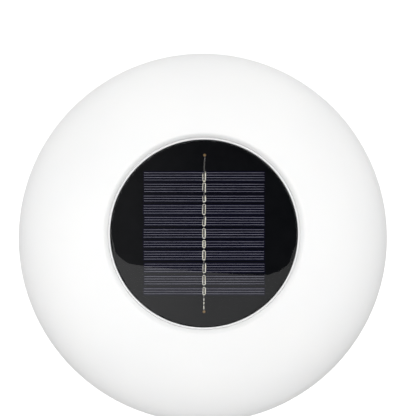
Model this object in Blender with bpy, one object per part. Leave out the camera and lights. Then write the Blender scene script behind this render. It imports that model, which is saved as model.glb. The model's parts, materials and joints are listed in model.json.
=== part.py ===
"""Floating solar pool light: a rotationally moulded globe with a round solar cap.

The globe is a hollow polyethylene ball with a small flat to stand on. A neck ring is
bonded into its mouth, and the solar cap twists into that ring on three helical lugs.
The cap carries everything electrical: the solar panel on top, and below it a sealed bay
with the cells, the charge board, the push switch and the lamp. An iron disc bolted to
the inside of the base keeps the centre of mass below the ball's centre, so that the
light floats with its panel up.

Metres, +Z up. The origin is the centre of the flat that the globe stands on.
"""

import math

import bmesh
import bpy
from mathutils import Matrix, Vector

MM = 0.001

# ---------------------------------------------------------------- driving dimensions, mm
GLOBE_R = 175.0  # 350 mm ball
WALL = 2.8
BASE_FLAT_R = 50.0
CENTRE_Z = math.sqrt(GLOBE_R**2 - BASE_FLAT_R**2)  # ball centre above the base
INNER_R = GLOBE_R - WALL

PANEL_R = 75.0  # 150 mm solar disc
CAP_R = 76.5
CAP_POCKET_R = 75.3
GAP = 0.3  # between pieces that touch

# heights below are above the ball's centre
SEAT = 148.6  # flat ring round the mouth that the neck ring sits on
MOUTH_R = 66.4
CROWN_R = 85.0  # where the ball's surface rolls over into the recess that the cap sits in
LIP_END = 151.6  # lower end of the cap's outer wall
FLANGE_TOP = 150.7
DECK_UNDER = 153.4
DECK_TOP = 155.2
RIM_TOP = 159.5
SKIRT_R = 59.6
SKIRT_IN = 57.2
SKIRT_END = 129.0
BARREL_IN = 62.6

# twist lock
LEAD = 18.0  # rise in one whole turn of the lugs
LUG_SPAN = 50.0
LUG_T = 2.6
LUG_COUNT = 3
CAP_LUG_Z = 139.0
LUG_PLAY = 0.4

# panel
BOARD_Z = 155.5
BOARD_T = 1.6
CELL_FINGERS = (4, 4, 3, 4, 4, 4, 3, 4, 4, 4, 3)  # printed lines on each strip, from +Y
CELL_GAPS = (0.5, 0.8, 1.0, 0.6, 1.1, 0.9, 1.1, 1.2, 1.1, 1.1)  # the strips are laid by hand
FINGER_PITCH = 1.96
CELL_MARGIN = 0.9
CELL_W = 97.6
CELL_T = 0.25
CELL_Z = BOARD_Z + BOARD_T + GAP
RIBBON_Z = CELL_Z + CELL_T + GAP
RIBBON_END = 62.6  # half-length of the tape that joins the cells

# electronics bay
POST_R = 53.2
COVER_TOP = 127.7
COVER_T = 2.5
COVER_UNDER = COVER_TOP - COVER_T
BATTERY_R = 9.15
BATTERY_L = 65.0
BATTERY_Z = 141.6
BATTERY_Y = (22.5, 2.5)
PCB_Z = 147.0
PCB_T = 1.6
BUTTON_Y = -47.5
SWITCH_Y = -36.5
BUTTON_TRAVEL = 1.5

# ballast
BOSS_TOP = 10.0
BALLAST_R = 46.0
BALLAST_T = 12.0

TURN = 48  # facets round the large pieces
SMALL = 16

# ---------------------------------------------------------------- scene and materials
for old in list(bpy.data.objects):
    bpy.data.objects.remove(old, do_unlink=True)

COLLECTION = bpy.context.scene.collection


def material(name, colour, roughness, metallic=0.0, alpha=1.0):
    made = bpy.data.materials.new(name)
    made.use_nodes = True
    shader = made.node_tree.nodes["Principled BSDF"]
    shader.inputs["Base Color"].default_value = (*colour, 1.0)
    shader.inputs["Roughness"].default_value = roughness
    shader.inputs["Metallic"].default_value = metallic
    shader.inputs["Alpha"].default_value = alpha
    made.diffuse_color = (*colour, alpha)
    made.roughness = roughness
    made.metallic = metallic
    return made


GLOBE_PE = material("globe_polyethylene", (0.93, 0.93, 0.92), 0.45)
CAP_ABS = material("cap_white_abs", (0.90, 0.90, 0.90), 0.30)
PANEL_BLACK = material("panel_black", (0.010, 0.011, 0.014), 0.25)
SILICON = material("cell_silicon", (0.016, 0.015, 0.035), 0.22)
TINNED = material("tinned_copper", (0.72, 0.70, 0.62), 0.30, 1.0)
SOLDER = material("solder_copper", (0.62, 0.40, 0.20), 0.35, 1.0)
RESIN = material("clear_resin", (0.95, 0.96, 0.97), 0.05, 0.0, 0.15)
SILICONE = material("silicone_grey", (0.42, 0.43, 0.44), 0.60)
IRON = material("cast_iron", (0.16, 0.16, 0.17), 0.60, 1.0)
STAINLESS = material("stainless_steel", (0.66, 0.66, 0.67), 0.28, 1.0)
BLACK_ABS = material("black_abs", (0.030, 0.030, 0.032), 0.45)
PCB_GREEN = material("pcb_green", (0.02, 0.16, 0.07), 0.40)
CHIP_BLACK = material("component_black", (0.020, 0.020, 0.022), 0.50)
WRAP_BLUE = material("battery_wrap", (0.05, 0.22, 0.55), 0.35)
PCB_WHITE = material("lamp_board_white", (0.86, 0.87, 0.88), 0.40)
PHOSPHOR = material("led_phosphor", (0.95, 0.85, 0.35), 0.40)
FROSTED = material("frosted_lens", (0.92, 0.93, 0.94), 0.50, 0.0, 0.8)
RUBBER = material("button_rubber", (0.10, 0.11, 0.12), 0.65)
WIRE_RED = material("wire_red", (0.62, 0.03, 0.03), 0.45)
WIRE_BLACK = material("wire_black", (0.02, 0.02, 0.02), 0.45)


# ---------------------------------------------------------------- modelling helpers
def finish(bm, name, mat, sharp=35.0, helper=False):
    """A bmesh in millimetres becomes a named object in metres, shaded smooth with sharp edges."""
    bmesh.ops.remove_doubles(bm, verts=bm.verts, dist=1e-3)
    bmesh.ops.recalc_face_normals(bm, faces=bm.faces)
    if bm.calc_volume(signed=True) < 0:
        bmesh.ops.reverse_faces(bm, faces=bm.faces)
    bmesh.ops.scale(bm, vec=(MM, MM, MM), verts=bm.verts)
    mesh = bpy.data.meshes.new(name)
    bm.to_mesh(mesh)
    bm.free()
    if mat is not None:
        mesh.materials.append(mat)
    mesh.shade_smooth()
    mesh.set_sharp_from_angle(angle=math.radians(sharp))
    made = bpy.data.objects.new(name, mesh)
    COLLECTION.objects.link(made)
    if helper:
        made.hide_render = True
        made.display_type = "WIRE"
    return made


def spun(profile, steps=TURN, closed=True, at=(0.0, 0.0, 0.0)):
    """A bmesh turned about a vertical line through `at`, from (radius, height) points."""
    bm = bmesh.new()
    points = [bm.verts.new((r, 0.0, z)) for r, z in profile]
    edges = [bm.edges.new(pair) for pair in zip(points, points[1:])]
    if closed:
        edges.append(bm.edges.new((points[-1], points[0])))
    bmesh.ops.spin(
        bm,
        geom=points + edges,
        cent=(0, 0, 0),
        axis=(0, 0, 1),
        dvec=(0, 0, 0),
        angle=math.tau,
        steps=steps,
        use_merge=True,
        use_duplicate=False,
    )
    bmesh.ops.remove_doubles(bm, verts=bm.verts, dist=1e-3)
    bmesh.ops.translate(bm, vec=at, verts=bm.verts)
    return bm


def lathe(name, profile, mat, steps=TURN, closed=True, at=(0.0, 0.0, 0.0), helper=False):
    return finish(spun(profile, steps, closed, at), name, mat, helper=helper)


def rod_profile(radius, low, high, chamfer=0.0):
    """The open profile of a solid round bar, from its axis at the bottom to its axis at the top."""
    if chamfer <= 0:
        return [(0, low), (radius, low), (radius, high), (0, high)]
    return [
        (0, low),
        (radius - chamfer, low),
        (radius, low + chamfer),
        (radius, high - chamfer),
        (radius - chamfer, high),
        (0, high),
    ]


def rod(name, radius, low, high, mat, at=(0.0, 0.0), steps=SMALL, chamfer=0.0, helper=False):
    return lathe(
        name,
        rod_profile(radius, low, high, chamfer),
        mat,
        steps,
        False,
        (at[0], at[1], 0.0),
        helper,
    )


def add_box(bm, low, high, chamfer=0.0):
    made = bmesh.ops.create_cube(bm, size=1.0)["verts"]
    size = [h - l for l, h in zip(low, high)]
    middle = [(h + l) / 2 for l, h in zip(low, high)]
    bmesh.ops.scale(bm, vec=size, verts=made)
    bmesh.ops.translate(bm, vec=middle, verts=made)
    if chamfer > 0:
        edges = {e for v in made for e in v.link_edges}
        bmesh.ops.bevel(
            bm, geom=list(edges), offset=chamfer, segments=1, affect="EDGES"
        )
    return made


def box(name, low, high, mat, chamfer=0.0, helper=False):
    bm = bmesh.new()
    add_box(bm, low, high, chamfer)
    return finish(bm, name, mat, helper=helper)


def boolean(obj, other, operation):
    step = obj.modifiers.new(f"{operation.lower()}_{other.name}", "BOOLEAN")
    step.operation = operation
    step.solver = "EXACT"
    step.object = other
    return step


def cut(obj, *tools):
    for tool in tools:
        boolean(obj, tool, "DIFFERENCE")


def join(obj, *tools):
    for tool in tools:
        boolean(obj, tool, "UNION")


def above(z):
    """A height measured from the ball's centre, as a height above the base."""
    return CENTRE_Z + z


def raised(profile):
    return [(r, above(z)) for r, z in profile]


def helical_lugs(name, inner, outer, middle_z):
    """Three lugs whose top and bottom faces climb with the angle at the thread's lead."""
    bm = bmesh.new()
    steps = 8
    for k in range(LUG_COUNT):
        middle = 360.0 / LUG_COUNT * k
        rings = []
        for i in range(steps + 1):
            offset = -LUG_SPAN / 2 + LUG_SPAN * i / steps
            angle = math.radians(middle + offset)
            z = above(middle_z + LEAD * offset / 360.0)
            ring = [
                bm.verts.new((r * math.cos(angle), r * math.sin(angle), z + dz))
                for r, dz in (
                    (inner, -LUG_T / 2),
                    (outer, -LUG_T / 2),
                    (outer, LUG_T / 2),
                    (inner, LUG_T / 2),
                )
            ]
            rings.append(ring)
        for a, b in zip(rings, rings[1:]):
            for j in range(4):
                bm.faces.new((a[j], a[(j + 1) % 4], b[(j + 1) % 4], b[j]))
        bm.faces.new(rings[0])
        bm.faces.new(reversed(rings[-1]))
    return finish(bm, name, None, helper=True)


def smooth_path(points, per_span=6):
    """A Catmull-Rom curve through the points."""
    pts = [Vector(p) for p in points]
    pts = [2 * pts[0] - pts[1], *pts, 2 * pts[-1] - pts[-2]]
    out = []
    for i in range(1, len(pts) - 2):
        p0, p1, p2, p3 = pts[i - 1 : i + 3]
        for k in range(per_span):
            t = k / per_span
            out.append(
                0.5
                * (
                    2 * p1
                    + (p2 - p0) * t
                    + (2 * p0 - 5 * p1 + 4 * p2 - p3) * t * t
                    + (3 * p1 - p0 - 3 * p2 + p3) * t**3
                )
            )
    out.append(pts[-2])
    return out


def wire(name, points, radius, mat, per_span=3, resolution=2):
    """A round wire along a smooth curve through the points, with filled ends."""
    curve = bpy.data.curves.new(name, "CURVE")
    curve.dimensions = "3D"
    curve.bevel_depth = radius * MM
    curve.bevel_resolution = resolution
    curve.use_fill_caps = True
    path = smooth_path(points, per_span)
    line = curve.splines.new("POLY")
    line.points.add(len(path) - 1)
    for p, place in zip(line.points, path):
        p.co = (*(place * MM), 1.0)
    curve.materials.append(mat)
    made = bpy.data.objects.new(name, curve)
    COLLECTION.objects.link(made)
    return made


# ---------------------------------------------------------------- globe
def globe():
    """One moulded shell: foot, recess for the ballast bolt, ball, recess for the cap, and mouth."""
    ball = lambda radius, polar: (
        radius * math.sin(math.radians(polar)),
        CENTRE_Z - radius * math.cos(math.radians(polar)),
    )
    outside = [
        (4.8, 7.0),
        (20.4, 7.0),
        (22.4, 5.6),
        (23.4, 0.6),
        (24.4, 0.0),
        (45.0, 0.0),
        (50.4, 0.35),
    ]
    start = math.degrees(math.asin(53.8 / GLOBE_R))
    end = 180.0 - math.degrees(math.asin(CROWN_R / GLOBE_R))
    outside += [ball(GLOBE_R, start + (90.0 - start) * i / 7) for i in range(7)]
    outside += [ball(GLOBE_R, 90.0 + (end - 90.0) * i / 6) for i in range(7)]
    outside += raised(
        [
            (83.4, 153.2),
            (81.9, 152.1),
            (80.3, 149.8),
            (77.6, SEAT),
            (MOUTH_R, SEAT),
        ]
    )
    under = SEAT - WALL
    inside = raised(
        [
            (MOUTH_R, under),
            (79.2, under),
            (82.6, 147.9),
            (84.6, 149.6),
        ]
    )
    low = math.degrees(math.asin(54.5 / INNER_R))
    high = 180.0 - math.degrees(math.asin(87.5 / INNER_R))
    count = 11
    inside += [
        ball(INNER_R, high - (high - low) * i / count) for i in range(count + 1)
    ]
    inside += [
        (47.5, WALL),
        (27.2, WALL),
        (25.8, 8.6),
        (24.2, BOSS_TOP),
        (4.8, BOSS_TOP),
    ]
    return lathe("globe_shell", outside + inside, GLOBE_PE)


globe_shell = globe()

# ---------------------------------------------------------------- neck ring in the mouth
neck_ring = lathe(
    "neck_ring",
    raised(
        [
            (BARREL_IN, 131.6),
            (65.4, 131.6),
            (66.0, 132.4),
            (66.0, SEAT + GAP),
            (72.1, SEAT + GAP),
            (72.5, SEAT + GAP + 0.4),
            (72.5, FLANGE_TOP - 0.4),
            (72.1, FLANGE_TOP),
            (63.2, FLANGE_TOP),
            (BARREL_IN, FLANGE_TOP - 0.6),
        ]
    ),
    CAP_ABS,
)
neck_lugs = helical_lugs(
    "tool_neck_lugs", 60.2, BARREL_IN + 0.7, CAP_LUG_Z + LUG_T + LUG_PLAY
)
join(neck_ring, neck_lugs)

# ---------------------------------------------------------------- ballast on the base
ballast_disc = lathe(
    "ballast_disc",
    [
        (5.0, BOSS_TOP + GAP),
        (BALLAST_R - 1.5, BOSS_TOP + GAP),
        (BALLAST_R, BOSS_TOP + GAP + 1.5),
        (BALLAST_R, BOSS_TOP + GAP + BALLAST_T - 2.0),
        (BALLAST_R - 2.0, BOSS_TOP + GAP + BALLAST_T),
        (5.0, BOSS_TOP + GAP + BALLAST_T),
    ],
    IRON,
    36,
)
ballast_top = BOSS_TOP + GAP + BALLAST_T

ballast_bolt = lathe(
    "ballast_bolt",
    [
        (0, 3.0),
        (2.2, 3.0),
        (2.2, 0.9),
        (5.6, 0.9),
        (7.0, 1.9),
        (7.2, 4.4),
        (4.0, 4.4),
        (4.0, 31.0),
        (3.2, 32.0),
        (0, 32.0),
    ],
    STAINLESS,
    SMALL,
    False,
)
sealing_washer = lathe(
    "sealing_washer",
    [(4.4, 4.7), (11.6, 4.7), (12.0, 5.1), (12.0, 6.3), (11.6, 6.7), (4.4, 6.7)],
    SILICONE,
    SMALL,
)
ballast_washer = lathe(
    "ballast_washer",
    [
        (4.4, ballast_top + GAP),
        (12.0, ballast_top + GAP),
        (12.0, ballast_top + GAP + 1.6),
        (4.4, ballast_top + GAP + 1.6),
    ],
    STAINLESS,
    SMALL,
)


def hex_nut(name, low, high, across_flats, bore, mat):
    """A hexagonal nut with a plain bore."""
    bm = bmesh.new()
    corner = across_flats / 2 / math.cos(math.pi / 6)
    outer_low, outer_high, inner_low, inner_high = [], [], [], []
    for i in range(24):
        angle = math.tau * i / 24
        side = (math.degrees(angle) % 60) - 30
        flat = across_flats / 2 / math.cos(math.radians(side))
        flat = min(flat, corner)
        for ring, r, z in (
            (outer_low, flat, low),
            (outer_high, flat, high),
            (inner_low, bore, low),
            (inner_high, bore, high),
        ):
            ring.append(bm.verts.new((r * math.cos(angle), r * math.sin(angle), z)))
    for i in range(24):
        j = (i + 1) % 24
        bm.faces.new((outer_low[i], outer_low[j], outer_high[j], outer_high[i]))
        bm.faces.new((inner_high[i], inner_high[j], inner_low[j], inner_low[i]))
        bm.faces.new((outer_high[i], outer_high[j], inner_high[j], inner_high[i]))
        bm.faces.new((inner_low[i], inner_low[j], outer_low[j], outer_low[i]))
    return finish(bm, name, mat, sharp=20)


nut_low = ballast_top + GAP + 1.6 + GAP
ballast_nut = hex_nut("ballast_nut", nut_low, nut_low + 6.5, 13.0, 4.3, STAINLESS)

# ---------------------------------------------------------------- seal ring under the cap
cap_seal = lathe(
    "cap_seal",
    [
        (
            68.0 + 1.05 * math.cos(math.tau * i / 6),
            above((FLANGE_TOP + DECK_UNDER) / 2) + 1.05 * math.sin(math.tau * i / 6),
        )
        for i in range(6)
    ],
    SILICONE,
)

# ---------------------------------------------------------------- cap housing
cap_housing = lathe(
    "cap_housing",
    raised(
        [
            (0, DECK_TOP),
            (CAP_POCKET_R, DECK_TOP),
            (CAP_POCKET_R, RIM_TOP),
            (CAP_R - 0.4, RIM_TOP),
            (CAP_R, RIM_TOP - 0.4),
            (CAP_R, LIP_END),
            (74.0, LIP_END),
            (74.0, DECK_UNDER),
            (SKIRT_R, DECK_UNDER),
            (SKIRT_R, SKIRT_END),
            (SKIRT_IN, SKIRT_END),
            (SKIRT_IN, DECK_UNDER),
            (0, DECK_UNDER),
        ]
    ),
    CAP_ABS,
    closed=False,
)
cap_lugs = helical_lugs("tool_cap_lugs", SKIRT_R - 0.7, 61.8, CAP_LUG_Z)
join(cap_housing, cap_lugs)

post_angles = [45, 135, 225, 315]
posts = [
    (POST_R * math.cos(math.radians(a)), POST_R * math.sin(math.radians(a)))
    for a in post_angles
]
standoffs = [(-26.0, -14.0), (26.0, -35.0)]


def rods_tool(name, places, radius, low, high, steps=12):
    """Several upright bars in one helper object."""
    bm = bmesh.new()
    for x, y in places:
        one = spun(rod_profile(radius, low, high), steps, False)
        # turned a little, so that no corner lies on a radial edge of a turned piece
        turned = Matrix.Rotation(math.radians(7), 3, "Z")
        bmesh.ops.rotate(one, cent=(0, 0, 0), matrix=turned, verts=one.verts)
        bmesh.ops.translate(one, vec=(x, y, 0), verts=one.verts)
        mesh = bpy.data.meshes.new("part")
        one.to_mesh(mesh)
        one.free()
        bm.from_mesh(mesh)
        bpy.data.meshes.remove(mesh)
    return finish(bm, name, None, helper=True)


join(
    cap_housing,
    rods_tool("tool_posts", posts, 3.6, above(COVER_TOP + GAP), above(DECK_UNDER + 0.9)),
    rods_tool(
        "tool_standoffs",
        standoffs,
        2.8,
        above(PCB_Z + PCB_T + GAP),
        above(DECK_UNDER + 0.9),
    ),
)
cut(
    cap_housing,
    rods_tool(
        "tool_post_holes", posts, 1.5, above(COVER_TOP - 1.0), above(COVER_TOP + 13.0), 12
    ),
    rods_tool(
        "tool_standoff_holes",
        standoffs,
        1.15,
        above(PCB_Z + PCB_T - 1.0),
        above(DECK_UNDER - 0.4),
        12,
    ),
    rods_tool(
        "tool_lead_hole", [(0.0, -20.0)], 5.0, above(DECK_UNDER - 2), above(DECK_TOP + 2)
    ),
)

# ---------------------------------------------------------------- solar panel
panel_board = lathe(
    "panel_board",
    raised(
        [
            (0, BOARD_Z),
            (PANEL_R, BOARD_Z),
            (PANEL_R, BOARD_Z + BOARD_T),
            (0, BOARD_Z + BOARD_T),
        ]
    ),
    PANEL_BLACK,
    closed=False,
)
# plated holes that the tape passes through, at its two ends
cut(
    panel_board,
    rods_tool(
        "tool_vias",
        [(0.0, RIBBON_END), (0.0, -RIBBON_END)],
        1.2,
        above(BOARD_Z - 1),
        above(BOARD_Z + BOARD_T + 1),
        12,
    ),
)

# A wafer is cut between its printed lines, so a strip is as tall as its number of lines.
cell_heights = [n * FINGER_PITCH + CELL_MARGIN for n in CELL_FINGERS]
ARRAY_H = sum(cell_heights) + sum(CELL_GAPS)
cell_meshes = {}
top_edge = ARRAY_H / 2
for index, (fingers, height) in enumerate(zip(CELL_FINGERS, cell_heights)):
    name = f"solar_cell_{index + 1:02d}"
    if fingers in cell_meshes:
        cell = bpy.data.objects.new(name, cell_meshes[fingers])
        COLLECTION.objects.link(cell)
    else:
        cell = box(
            name,
            (-CELL_W / 2, -height / 2, -CELL_T / 2),
            (CELL_W / 2, height / 2, CELL_T / 2),
            SILICON,
        )
        cell_meshes[fingers] = cell.data
    cell.location = (0.0, (top_edge - height / 2) * MM, above(CELL_Z + CELL_T / 2) * MM)
    top_edge -= height + (CELL_GAPS[index] if index < len(CELL_GAPS) else 0.0)


def tape():
    """The tinned tape that runs over the middle of every cell and down to the board at both ends."""
    bm = bmesh.new()
    half = 1.1
    thick = 0.15
    top = RIBBON_Z
    low = BOARD_Z + BOARD_T + GAP
    line = [(-RIBBON_END + 1.6, low)]
    first = ARRAY_H / 2
    line += [(-first - 2.2, low), (-first - 0.9, top)]
    line += [(first + 0.9, top), (first + 2.2, low), (RIBBON_END - 1.6, low)]
    rows = []
    for y, z in line:
        rows.append(
            [
                bm.verts.new((x, y, above(z + dz)))
                for x, dz in ((-half, 0), (half, 0), (half, thick), (-half, thick))
            ]
        )
    for a, b in zip(rows, rows[1:]):
        for j in range(4):
            bm.faces.new((a[j], a[(j + 1) % 4], b[(j + 1) % 4], b[j]))
    bm.faces.new(rows[0])
    bm.faces.new(reversed(rows[-1]))
    return finish(bm, "cell_ribbon", TINNED)


cell_ribbon = tape()

for side, name in ((1, "solder_joint_top"), (-1, "solder_joint_bottom")):
    lathe(
        name,
        raised(
            [
                (0, BOARD_Z + 0.35),
                (0.85, BOARD_Z + 0.35),
                (0.85, BOARD_Z + BOARD_T + 0.2),
                (1.2, BOARD_Z + BOARD_T + 0.35),
                (0.95, BOARD_Z + BOARD_T + 0.75),
                (0.45, BOARD_Z + BOARD_T + 0.95),
                (0, BOARD_Z + BOARD_T + 1.0),
            ]
        ),
        SOLDER,
        12,
        False,
        (0.0, side * RIBBON_END, 0.0),
    )


def resin():
    """Clear cast resin: a slightly domed disc over the board, hollowed where the cells and tape lie."""
    under = BOARD_Z + BOARD_T + GAP
    edge = 159.0
    rise = 0.9
    radius = 74.9
    dome = []
    count = 5
    for i in range(count + 1):
        r = 71.5 * (1 - i / count)
        dome.append((r, edge - 0.12 + (rise + 0.12) * (1 - (r / 71.5) ** 2)))
    body = lathe(
        "panel_resin",
        raised(
            [(0, under), (radius, under), (radius, edge - 0.9), (74.0, edge - 0.35)] + dome
        ),
        RESIN,
        closed=False,
    )
    tall = ARRAY_H
    pocket = box(
        "tool_cell_pocket",
        (-CELL_W / 2 - 0.4, -tall / 2 - 0.4, above(under - 1)),
        (CELL_W / 2 + 0.4, tall / 2 + 0.4, above(RIBBON_Z + 0.15 + GAP)),
        None,
        helper=True,
    )
    slot = box(
        "tool_tape_slot",
        (-2.2, -RIBBON_END - 2.2, above(under - 1)),
        (2.2, RIBBON_END + 2.2, above(RIBBON_Z + 0.15 + GAP + 0.02)),
        None,
        helper=True,
    )
    cut(body, pocket, slot)
    return body


panel_resin = resin()

# ---------------------------------------------------------------- bottom cover of the bay
module_cover = lathe(
    "module_cover",
    raised(
        [
            (0, COVER_TOP),
            (59.4, COVER_TOP),
            (59.4, COVER_UNDER + 0.6),
            (58.8, COVER_UNDER),
            (0, COVER_UNDER),
        ]
    ),
    BLACK_ABS,
    closed=False,
)
join(
    module_cover,
    rods_tool(
        "tool_button_guide", [(0.0, BUTTON_Y)], 6.6, above(COVER_UNDER - 2.5), above(COVER_TOP + 4.0), SMALL
    ),
)
cut(
    module_cover,
    rods_tool(
        "tool_button_bore", [(0.0, BUTTON_Y)], 4.6, above(COVER_UNDER - 4), above(COVER_TOP + 6), SMALL
    ),
    rods_tool("tool_cover_holes", posts, 1.9, above(COVER_UNDER - 1), above(COVER_TOP + 1), 12),
    rods_tool(
        "tool_lamp_lead_hole", [(14.0, -18.0)], 2.2, above(COVER_UNDER - 1), above(COVER_TOP + 1), 12
    ),
    rods_tool(
        "tool_lens_pilots",
        [
            (36.2 * math.cos(math.radians(a)), 36.2 * math.sin(math.radians(a)))
            for a in (90, 210, 330)
        ],
        1.15,
        above(COVER_UNDER - 1),
        above(COVER_TOP - 0.6),
        12,
    ),
)
cover_gasket = lathe(
    "cover_gasket",
    raised(
        [
            (57.6, COVER_TOP + GAP),
            (59.2, COVER_TOP + GAP),
            (59.2, SKIRT_END - GAP),
            (57.6, SKIRT_END - GAP),
        ]
    ),
    SILICONE,
)


def screw(name, x, y, head_under, head_r, shank_r, length, mat=STAINLESS, head_h=1.8):
    """A pan-head screw whose head hangs below head_under and whose shank points up."""
    base = above(head_under)
    return lathe(
        name,
        [
            (0, base - head_h + 0.9),
            (head_r * 0.38, base - head_h + 0.9),
            (head_r * 0.38, base - head_h),
            (head_r * 0.75, base - head_h),
            (head_r, base - head_h * 0.55),
            (head_r, base),
            (shank_r, base),
            (shank_r, base + length - shank_r),
            (shank_r * 0.3, base + length),
            (0, base + length),
        ],
        mat,
        12,
        False,
        (x, y, 0.0),
    )


for number, (x, y) in enumerate(posts, 1):
    screw(f"cover_screw_{number}", x, y, COVER_UNDER - GAP, 3.2, 1.2, 13.0)

# ---------------------------------------------------------------- batteries
HOLDER_X = 38.5
HOLDER_Y = (-7.6, 32.6)
HOLDER_TOP = DECK_UNDER - GAP


def holder():
    """An open cradle under the deck: a back plate, two end walls and a rib between the cells."""
    bm = bmesh.new()
    add_box(
        bm,
        (-HOLDER_X, HOLDER_Y[0], above(HOLDER_TOP - 1.8)),
        (HOLDER_X, HOLDER_Y[1], above(HOLDER_TOP)),
    )
    body = finish(bm, "battery_holder", BLACK_ABS)
    walls = []
    for name, low, high in (
        (
            "tool_wall_left",
            (-HOLDER_X, HOLDER_Y[0], above(131.4)),
            (-HOLDER_X + 1.8, HOLDER_Y[1], above(HOLDER_TOP - 0.9)),
        ),
        (
            "tool_wall_right",
            (HOLDER_X - 1.8, HOLDER_Y[0], above(131.4)),
            (HOLDER_X, HOLDER_Y[1], above(HOLDER_TOP - 0.9)),
        ),
        (
            "tool_rib",
            (-24.0, 12.05, above(143.5)),
            (24.0, 12.95, above(HOLDER_TOP - 0.9)),
        ),
    ):
        walls.append(box(name, low, high, None, helper=True))
    join(body, *walls)
    return body


battery_holder = holder()


def battery(name, y):
    """A cylindrical lithium cell lying along X, with its raised positive end at +X."""
    half = BATTERY_L / 2
    bm = spun(
        [
            (0, -half),
            (BATTERY_R - 0.9, -half),
            (BATTERY_R, -half + 0.9),
            (BATTERY_R, half - 1.9),
            (BATTERY_R - 0.9, half - 1.0),
            (3.6, half - 1.0),
            (3.2, half),
            (0, half),
        ],
        SMALL,
        False,
    )
    bmesh.ops.rotate(
        bm, cent=(0, 0, 0), matrix=Matrix.Rotation(math.pi / 2, 3, "Y"), verts=bm.verts
    )
    made = finish(bm, name, WRAP_BLUE)
    made.location = (0.0, y * MM, above(BATTERY_Z) * MM)
    return made


for number, y in enumerate(BATTERY_Y, 1):
    battery(f"battery_cell_{number}", y)


def coil(name, y):
    """The conical coil spring that presses on a cell's negative end."""
    turns, per_turn = 3, 8
    start = -HOLDER_X + 1.8 + 0.75
    end = -BATTERY_L / 2 - 0.75
    points = []
    for i in range(turns * per_turn + 1):
        t = i / (turns * per_turn)
        angle = math.tau * turns * t
        radius = 5.6 - 2.4 * t
        points.append(
            Vector(
                (
                    start + (end - start) * t,
                    y + radius * math.cos(angle),
                    above(BATTERY_Z) + radius * math.sin(angle),
                )
            )
        )
    curve = bpy.data.curves.new(name, "CURVE")
    curve.dimensions = "3D"
    curve.bevel_depth = 0.42 * MM
    curve.bevel_resolution = 1
    curve.use_fill_caps = True
    line = curve.splines.new("POLY")
    line.points.add(len(points) - 1)
    for p, place in zip(line.points, points):
        p.co = (*(place * MM), 1.0)
    curve.materials.append(STAINLESS)
    made = bpy.data.objects.new(name, curve)
    COLLECTION.objects.link(made)
    return made


for number, y in enumerate(BATTERY_Y, 1):
    coil(f"battery_spring_{number}", y)

# one plate joins both positive ends
battery_contact = box(
    "battery_contact",
    (BATTERY_L / 2 + 0.8, BATTERY_Y[1] - 6.0, above(BATTERY_Z - 4.5)),
    (BATTERY_L / 2 + 1.6, BATTERY_Y[0] + 6.0, above(BATTERY_Z + 4.5)),
    TINNED,
)

# ---------------------------------------------------------------- charge board
control_board = box(
    "control_board", (-31.0, -41.0, above(PCB_Z)), (31.0, -10.0, above(PCB_Z + PCB_T)), PCB_GREEN
)
cut(
    control_board,
    rods_tool("tool_board_holes", standoffs, 1.5, above(PCB_Z - 1), above(PCB_Z + PCB_T + 1), 12),
)
for number, (x, y) in enumerate(standoffs, 1):
    screw(f"board_screw_{number}", x, y, PCB_Z - GAP, 2.4, 0.85, 5.8, head_h=1.5)

charge_chip = box(
    "charge_chip",
    (-16.0, -30.0, above(PCB_Z - GAP - 1.7)),
    (-6.0, -24.0, above(PCB_Z - GAP)),
    CHIP_BLACK,
    0.25,
)
rod("inductor", 4.5, above(PCB_Z - GAP - 5.0), above(PCB_Z - GAP), CHIP_BLACK, (18.0, -27.0), SMALL, 0.5)
rod("capacitor", 4.0, above(PCB_Z - GAP - 8.5), above(PCB_Z - GAP), TINNED, (-23.0, -32.0), SMALL, 0.5)

# ---------------------------------------------------------------- push switch and button
power_switch = box(
    "power_switch",
    (-4.2, SWITCH_Y - 4.0, above(PCB_Z - GAP - 6.0)),
    (4.2, SWITCH_Y + 4.0, above(PCB_Z - GAP)),
    BLACK_ABS,
    0.3,
)


def button():
    """A rubber-capped plunger: cap flush in the cover's guide, a collar, and an arm that reaches the switch."""
    cap_low = COVER_UNDER - 3.6
    body = lathe(
        "power_button",
        raised(
            [
                (0, cap_low),
                (3.2, cap_low),
                (4.1, cap_low + 0.7),
                (4.1, COVER_TOP + 5.0),
                (3.4, COVER_TOP + 5.6),
                (0, COVER_TOP + 5.6),
            ]
        ),
        RUBBER,
        SMALL,
        False,
        (0.0, BUTTON_Y, 0.0),
    )
    arm = box(
        "tool_button_arm",
        (-2.0, BUTTON_Y - 1.0, above(COVER_TOP + 4.5)),
        (2.0, SWITCH_Y + 1.6, above(COVER_TOP + 7.6)),
        None,
        helper=True,
    )
    stem = box(
        "tool_button_stem",
        (-1.6, SWITCH_Y - 1.6, above(COVER_TOP + 6.0)),
        (1.6, SWITCH_Y + 1.6, above(PCB_Z - GAP - 6.0 - BUTTON_TRAVEL - 0.4)),
        None,
        helper=True,
    )
    join(body, arm, stem)
    return body


power_button = button()

# ---------------------------------------------------------------- lamp under the cover
LAMP_TOP = COVER_UNDER - GAP
led_board = rod(
    "led_board", 29.0, above(LAMP_TOP - 1.6), above(LAMP_TOP), PCB_WHITE, steps=36
)
for number in range(4):
    angle = math.radians(45 + 90 * number)
    x, y = 17.0 * math.cos(angle), 17.0 * math.sin(angle)
    box(
        f"led_{number + 1}",
        (x - 2.5, y - 2.5, above(LAMP_TOP - 1.6 - GAP - 1.5)),
        (x + 2.5, y + 2.5, above(LAMP_TOP - 1.6 - GAP)),
        PHOSPHOR,
        0.2,
    )


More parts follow.
